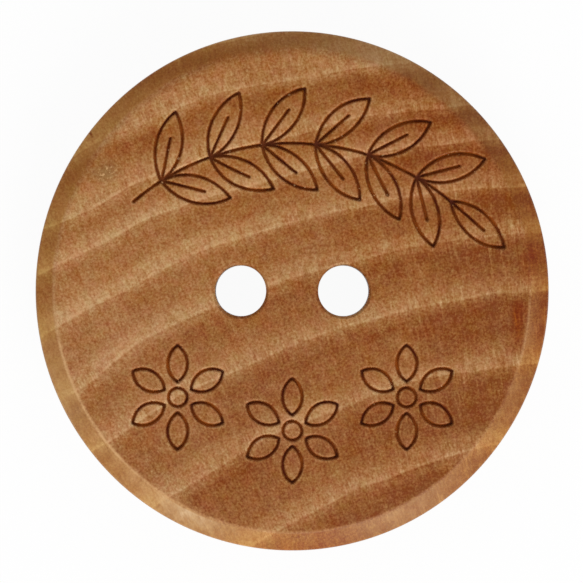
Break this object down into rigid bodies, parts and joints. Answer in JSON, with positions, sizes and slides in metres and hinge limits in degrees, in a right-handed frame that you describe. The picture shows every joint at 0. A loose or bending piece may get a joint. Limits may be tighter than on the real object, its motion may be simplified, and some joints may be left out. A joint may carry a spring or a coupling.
{
  "type": "wooden sew-through button",
  "caption": "Round end-grain wooden button with a bevelled rim, a pair of thread holes and a face engraved with a leafy sprig and small flowers.",
  "frame": {"origin": "middle of the flat back face", "axes": "+Z out of the engraved face, +Y up the face and across the growth rings, +X along the line of the two thread holes"},
  "size_m": [0.0248, 0.025, 0.004],
  "materials": {
    "wood": "satin"
  },
  "bodies": {
    "root": {"button": "wood"}
  },
  "joints": []
}
